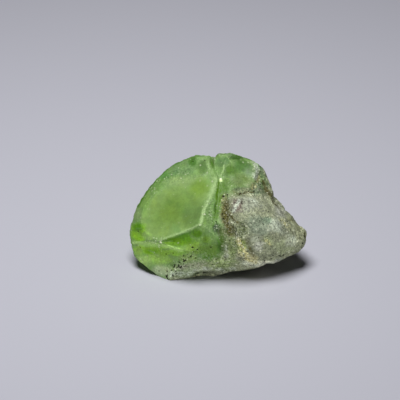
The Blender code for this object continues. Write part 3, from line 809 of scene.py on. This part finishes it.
# %% Colour the crystal
def colour_crystal(tree, where, wobble, cloud, in_scar):
    scar_reach = calc(tree, "MULTIPLY_ADD", wobble, 0.8, mark(tree, "scar"))
    scar_green = mix_colour(tree, blend_step(tree, scar_reach, 0.1, 2.6), SCAR_EDGE_GREEN, SCAR_GREEN)
    green = mix_colour(tree, in_scar, MIDDLE_GREEN, scar_green)
    clear = mix_number(tree, in_scar, CRYSTAL_CLEARNESS, SCAR_CLEARNESS)
    patch_wobble = calc(tree, "MULTIPLY", wobble, 0.7)
    green, clear = lay_patches(tree, where, (green, clear), CRYSTAL_PATCHES, patch_wobble)
    drift = calc(tree, "MULTIPLY_ADD", wobble, 0.06, noise(tree, where, 3.2, 2.0, 0.5))
    for far_green, far_clear, strength, limits in BEHIND_GREENS:
        share = far_side_share(tree, drift, limits, strength)
        green = mix_colour(tree, share, green, far_green)
        clear = mix_number(tree, share, clear, far_clear)

    clouds = blend_step(tree, cloud, 0.25, 0.75, 0.84, 1.16)
    green = mix_colour(tree, 1.0, green, clouds, "MULTIPLY")
    drawn_out = vector_calc(tree, "MULTIPLY", where, (1.0, 0.2, 0.12))
    streaks = blend_step(tree, noise(tree, drawn_out, 0.22, 2.0), 0.3, 0.7, 0.94, 1.06)
    green = mix_colour(tree, calc(tree, "SUBTRACT", 1.0, in_scar), green, streaks, "MULTIPLY")
    tint = noise(tree, where, 1.4, 3.0, 0.6)
    towards_yellow = blend_step(tree, tint, 0.5, 0.8, 0.0, 0.5)
    towards_blue = blend_step(tree, tint, 0.2, 0.5, 0.5, 0.0)
    for share, tinge in ((towards_yellow, YELLOW_TINT), (towards_blue, BLUE_TINT)):
        green = mix_colour(tree, share, green, tinge, "MULTIPLY")
    return green, clear


# %% [markdown]
# ## The rind
#
# The rind has its own patches. Two noises tear their edges, because the rind broke away in grains.

# %% Colour the rind
def colour_rind(tree, where, wobble, grit):
    ragged = calc(tree, "MULTIPLY_ADD", grit, 1.6, wobble)
    colour = lay_patches(tree, where, [RIND_GREY], RIND_PATCHES, ragged)[0]
    blotches = noise(tree, where, 1.8, 4.0, 0.7)
    stain, strength, limits = BEHIND_STAIN
    return mix_colour(tree, far_side_share(tree, blotches, limits, strength), colour, stain)


# %% [markdown]
# ## The bands on the stone
#
# The bands come over crystal and rind alike. Each is a mark on the mesh, and two noises make it ragged,
# some bands more than others.

# %% Lay the bands
def lay_bands(tree, cloud, grit, colour, clear):
    for name, (band_colour, band_clear, ragged, full) in BAND_LOOKS.items():
        strength = mark(tree, name)
        reach = calc(tree, "MULTIPLY_ADD", calc(tree, "SUBTRACT", cloud, 0.5), 1.5 * ragged, strength)
        reach = calc(tree, "MULTIPLY_ADD", grit, 1.2 * ragged, reach)
        on_band = blend_step(tree, strength, 0.0, 0.25)
        share = calc(tree, "MULTIPLY", blend_step(tree, reach, 0.1, full), on_band)
        colour = mix_colour(tree, share, colour, band_colour)
        clear = mix_number(tree, share, clear, band_clear)
    return colour, clear


# %% [markdown]
# ## Grain
#
# The relief's depth darkens the rind's hollows with painted shade and lightens its raised grains with
# painted light, and a noise mottles the rind. A finer noise makes every colour a little lighter and
# darker, strongly on the rind and hardly in the scar.

# %% Darken hollows and add grain
def add_grain(tree, where, in_scar, in_rind, colour):
    # Painted shade in the rind's hollows and painted light on its raised grains
    painted_hollow_shade = blend_step(tree, mark(tree, "hollow"), 0.08, 0.3, 1.15, 0.78)
    mottle = blend_step(tree, noise(tree, where, 0.5, 3.0, 0.6), 0.3, 0.7, 0.78, 1.22)
    rind_shade = mix_number(tree, in_rind, 1.0, calc(tree, "MULTIPLY", painted_hollow_shade, mottle))
    colour = mix_colour(tree, 1.0, colour, rind_shade, "MULTIPLY")
    grain = calc(tree, "SUBTRACT", noise(tree, where, 0.2, 2.0, 0.8), 0.5)
    grain_depth = mix_number(tree, in_rind, mix_number(tree, in_scar, 1.25, 0.3), 2.8)
    grain_depth = calc(tree, "ADD", grain_depth, mark(tree, "gritty"))
    return mix_colour(tree, 1.0, colour, calc(tree, "MULTIPLY_ADD", grain, grain_depth, 1.0), "MULTIPLY")


# %% [markdown]
# ## Speckles and bruises
#
# Dark and pale speckles come from the two ends of one more noise, so they never lie on each other.
# Sharp arrises of the crystal are bruised pale.

# %% Add speckles and pale arrises
def add_speckles(tree, where, in_rind, colour):
    speckle = noise(tree, where, 0.22, 3.0, 0.75)
    share = calc(tree, "ADD", mix_number(tree, in_rind, 0.04, 0.45), mark(tree, "gritty"))
    share = calc(tree, "MINIMUM", share, 1.0)
    dark = calc(tree, "MULTIPLY", blend_step(tree, speckle, 0.32, 0.46, 0.85, 0.0), share)
    pale = calc(tree, "MULTIPLY", blend_step(tree, speckle, 0.54, 0.68, 0.0, 0.48), share)
    colour = mix_colour(tree, dark, colour, DARK_SPECKLE, "MULTIPLY")
    return mix_colour(tree, pale, colour, PALE_SPECKLE)


def bruise_arrises(tree, wobble, in_rind, colour):
    reach = calc(tree, "MULTIPLY_ADD", wobble, 0.1, mark(tree, "arris"))
    share = blend_step(tree, reach, 0.0, 0.16, 0.2, 0.0)
    share = calc(tree, "MULTIPLY", share, calc(tree, "SUBTRACT", 1.0, in_rind))
    return mix_colour(tree, share, colour, BAND_LOOKS["ridge"][0])


# %% [markdown]
# ## Flecks and pits
#
# Small cleavage faces flash white, and the flash is a painted highlight: a white fleck laid into the
# colour. Small dark grains sit between them. A Voronoi texture gives each cell of 0.3 mm two chance
# numbers: one says whether the cell holds a white fleck, a dark one or none, and the other how big it
# is. The marks for sparkle and grit make them more common. Pits are dark inside and not clear.

# %% Add flecks and pits
FLECK_CELL = 0.3


def add_flecks_and_pits(tree, where, grit, in_scar, in_rind, colour, clear):
    cells = add(tree, "ShaderNodeTexVoronoi", {"Vector": where, "Scale": 1 / FLECK_CELL}, feature="F1")
    pick, pick_size, _ = add(tree, "ShaderNodeSeparateColor", [cells.outputs["Color"]]).outputs
    fleck = calc(tree, "MULTIPLY_ADD", grit, 0.9, cells.outputs["Distance"])
    fleck = calc(tree, "SUBTRACT", fleck, calc(tree, "MULTIPLY", pick_size, 0.35))
    fleck = blend_step(tree, fleck, 0.0, 0.25, 1.0, 0.0)
    fleck = calc(tree, "MULTIPLY", fleck, mix_number(tree, in_scar, 1.0, 0.3))

    sparkle = mark(tree, "sparkle")
    white_above = calc(tree, "MULTIPLY_ADD", sparkle, -0.6, mix_number(tree, in_rind, 0.94, 0.84))
    # Painted highlights: white flecks that stand for glinting cleavage faces
    white = calc(tree, "MULTIPLY", fleck, calc(tree, "GREATER_THAN", pick, white_above))
    brightness = calc(tree, "MINIMUM", calc(tree, "MULTIPLY_ADD", sparkle, 0.6, 0.4), 1.0)
    colour = mix_colour(tree, calc(tree, "MULTIPLY", white, brightness), colour, SPARKLE_COLOUR)
    dark_below = mix_number(tree, in_rind, 0.01, 0.14)
    dark_below = calc(tree, "MULTIPLY_ADD", mark(tree, "gritty"), 0.12, dark_below)
    dark = calc(tree, "MULTIPLY", fleck, calc(tree, "LESS_THAN", pick, dark_below))
    colour = mix_colour(tree, calc(tree, "MULTIPLY", dark, 0.6), colour, PIT_COLOUR)

    in_pit = blend_step(tree, calc(tree, "MULTIPLY_ADD", grit, 1.5, mark(tree, "pit")), 0.35, 0.8)
    colour = mix_colour(tree, in_pit, colour, PIT_COLOUR)
    covered = calc(tree, "MAXIMUM", in_pit, dark)
    return colour, calc(tree, "MULTIPLY", clear, calc(tree, "SUBTRACT", 1.0, covered))


# %% [markdown]
# ## Gloss
#
# A fresh break is half glossy, the scar is a little duller because it is rippled, and the rind is dull.
# Fine bumps break up the gloss.

# %% Set the gloss
BUMP_HEIGHT = 0.06 * MM


def gloss_and_bumps(tree, where, in_scar, in_rind):
    crystal_roughness = blend_step(tree, noise(tree, where, 0.5, 3.0), 0.3, 0.7, 0.42, 0.62)
    crystal_roughness = mix_number(tree, in_scar, crystal_roughness, 0.75)
    roughness = mix_number(tree, in_rind, crystal_roughness, 0.85)
    coarse_bumps = calc(tree, "MULTIPLY", noise(tree, where, 0.3, 4.0, 0.7), 0.8)
    bumps = calc(tree, "MULTIPLY_ADD", noise(tree, where, 0.12, 3.0, 0.7), 0.6, coarse_bumps)
    bump_strength = mix_number(tree, in_rind, mix_number(tree, in_scar, 0.35, 0.15), 0.9)
    feeds = {"Strength": bump_strength, "Distance": BUMP_HEIGHT, "Height": bumps}
    return roughness, add(tree, "ShaderNodeBump", feeds).outputs[0]


# %% [markdown]
# ## The layers together
#
# The patterns read Object coordinates, turned so that a place is in millimetres across, into the stone
# and up, as in the picture. Three noises are shared by the layers: a wobble for edges, a fine grit and
# soft clouds. Light that goes into the crystal loses red and blue on its way. A plain absorption does
# that, and its colour, its density and the crystal's index of refraction stay the same all over.

# %% Build the material
ABSORB_COLOUR = (0.62, 0.92, 0.05, 1.0)
ABSORB_DENSITY = 260.0
PERIDOT_IOR = 1.67
PERIDOT_SPECULAR = 0.06


def finish_peridot(material):
    material.use_nodes = True
    tree = material.node_tree
    shader = tree.nodes["Principled BSDF"]
    turn = Euler((LOOK_DOWN, 0, 0))
    place = add(tree, "ShaderNodeTexCoord").outputs["Object"]
    where = add(tree, "ShaderNodeMapping", {
        "Vector": place,
        "Location": -(turn.to_matrix() @ (STONE_MIDDLE / MM)),
        "Rotation": turn,
        "Scale": (1 / MM,) * 3,
    }).outputs[0]
    wobble = calc(tree, "MULTIPLY_ADD", noise(tree, where, 1.1, 6.0, 0.65), 1.8, -0.9)
    grit = calc(tree, "SUBTRACT", noise(tree, where, 0.2, 3.0, 0.8), 0.5)
    cloud = noise(tree, where, 0.9, 5.0, 0.7)
    in_scar = blend_step(tree, calc(tree, "MULTIPLY_ADD", wobble, 0.3, mark(tree, "scar")), -0.2, 0.6)
    rind_reach = calc(tree, "MULTIPLY_ADD", wobble, 0.8, mark(tree, "rind"))
    in_rind = blend_step(tree, calc(tree, "MULTIPLY_ADD", grit, 2.5, rind_reach), -0.6, 0.6)

    green, clear = colour_crystal(tree, where, wobble, cloud, in_scar)
    colour = mix_colour(tree, in_rind, green, colour_rind(tree, where, wobble, grit))
    clear = mix_number(tree, in_rind, clear, 0.0)
    colour, clear = lay_bands(tree, cloud, grit, colour, clear)
    colour = add_grain(tree, where, in_scar, in_rind, colour)
    colour = add_speckles(tree, where, in_rind, colour)
    colour = bruise_arrises(tree, wobble, in_rind, colour)
    colour, clear = add_flecks_and_pits(tree, where, grit, in_scar, in_rind, colour, clear)
    roughness, bumps = gloss_and_bumps(tree, where, in_scar, in_rind)

    finish = {"Base Color": colour, "Roughness": roughness, "Transmission Weight": clear, "Normal": bumps}
    for name, value in finish.items():
        tree.links.new(value, shader.inputs[name])
    shader.inputs["IOR"].default_value = PERIDOT_IOR
    shader.inputs["Specular IOR Level"].default_value = PERIDOT_SPECULAR
    body = add(tree, "ShaderNodeVolumeAbsorption", {"Color": ABSORB_COLOUR, "Density": ABSORB_DENSITY})
    tree.links.new(body.outputs[0], tree.nodes["Material Output"].inputs["Volume"])
    print("peridot material:", len(tree.nodes), "nodes")


finish_peridot(peridot)

# %% [markdown]
# ## The floor
#
# The stone lies on a plain pale floor with a trace of blue. Its edge is far outside the picture.

# %% Lay the floor
FLOOR_COLOUR = screen(203, 203, 214)
FLOOR_HALF = 0.6
FLOOR_ROUGHNESS = 0.9


def make_floor():
    corners = [(x * FLOOR_HALF, y * FLOOR_HALF, 0) for x, y in ((-1, -1), (1, -1), (1, 1), (-1, 1))]
    mesh = bpy.data.meshes.new("floor")
    mesh.from_pydata(corners, [], [(0, 1, 2, 3)])
    floor = bpy.data.objects.new("floor", mesh)
    bpy.context.scene.collection.objects.link(floor)
    sheet = bpy.data.materials.new("floor_sheet")
    sheet.use_nodes = True
    shader = sheet.node_tree.nodes["Principled BSDF"]
    shader.inputs["Base Color"].default_value = FLOOR_COLOUR
    shader.inputs["Roughness"].default_value = FLOOR_ROUGHNESS
    mesh.materials.append(sheet)
    return floor


make_floor()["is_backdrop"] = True
print("floor is", 2 * FLOOR_HALF, "m wide")

# %% [markdown]
# ## Light
#
# A soft light above the stone, a little to its left, throws the small dark shadow in front of it and to
# its right. One light alone would leave the front too dark, and more lights would wash the shadow out.
# So three weaker ones, two in front and one behind, are linked to the stone only: they brighten it and
# leave the floor alone. A faint sky fills the rest.

# %% Hang the lights
def add_light(name, place, size, power, lights_only=None):
    data = bpy.data.lights.new(name, "AREA")
    data.shape = "DISK"
    data.size = size
    data.energy = power
    light = bpy.data.objects.new(name, data)
    light.location = place
    light.rotation_euler = (Vector(place) - STONE_MIDDLE).to_track_quat("Z", "Y").to_euler()
    light.light_linking.receiver_collection = lights_only
    bpy.context.scene.collection.objects.link(light)


stone_only = bpy.data.collections.new("stone_only")
stone_only.objects.link(stone)
# Each light: its place and width in metres, its power in watts, and what it lights if not everything
LIGHTS = {
    "key_light": ((-0.02, -0.005, 0.17), 0.09, 0.27),
    "front_light": ((0.0, -0.2, 0.16), 0.12, 0.24, stone_only),
    "low_light": ((0.01, -0.15, 0.025), 0.1, 0.05, stone_only),
    "back_light": ((0.0, 0.2, 0.08), 0.12, 0.14, stone_only),
}
for name, light in LIGHTS.items():
    add_light(name, *light)
print(len(LIGHTS), "lights")

SKY_COLOUR = (0.86, 0.88, 0.95, 1)
SKY_STRENGTH = 0.02
sky = bpy.data.worlds.new("soft_sky")
sky.use_nodes = True
sky.node_tree.nodes["Background"].inputs["Color"].default_value = SKY_COLOUR
sky.node_tree.nodes["Background"].inputs["Strength"].default_value = SKY_STRENGTH
bpy.context.scene.world = sky
bpy.context.scene.view_settings.view_transform = "Standard"

# %% [markdown]
# ## Camera
#
# The camera stands where the picture was taken from, 30 degrees up and far away with a long lens, so
# that the stone is drawn almost without perspective. One pixel of the picture is an eighth of a
# millimetre, and the camera aims so that the stone's middle falls on its own pixel.

# %% Place the camera
PICTURE_PIXELS = 400
PIXEL = 0.125 * MM
# Across from the left edge, and down from the top edge
STONE_PIXEL = (217, 218)
LENS_MM = 250
SENSOR_MM = 36
pixels_right, pixels_down = (pixel - PICTURE_PIXELS / 2 for pixel in STONE_PIXEL)
aim = STONE_MIDDLE + (UP * pixels_down - ACROSS * pixels_right) * PIXEL
distance = LENS_MM / SENSOR_MM * PICTURE_PIXELS * PIXEL
camera_data = bpy.data.cameras.new("camera")
camera_data.lens = LENS_MM
camera_data.sensor_width = SENSOR_MM
camera_data.clip_start = 0.005
camera = bpy.data.objects.new("camera", camera_data)
camera.location = aim + OUT * distance
camera.rotation_euler = (math.pi / 2 - LOOK_DOWN, 0, 0)
bpy.context.scene.collection.objects.link(camera)
bpy.context.scene.camera = camera
print("camera is", round(distance / MM), "mm away")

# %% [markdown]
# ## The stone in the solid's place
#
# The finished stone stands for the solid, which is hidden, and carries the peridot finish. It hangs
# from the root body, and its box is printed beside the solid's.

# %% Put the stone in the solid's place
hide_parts("raw_peridot")
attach(stone, "root")
stone_box = [list(corner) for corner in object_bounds()]
for name, corners in (("solid", solid_box), ("stone", stone_box)):
    print(name, "from", *[[round(value / MM, 2) for value in corner] for corner in corners], "mm")
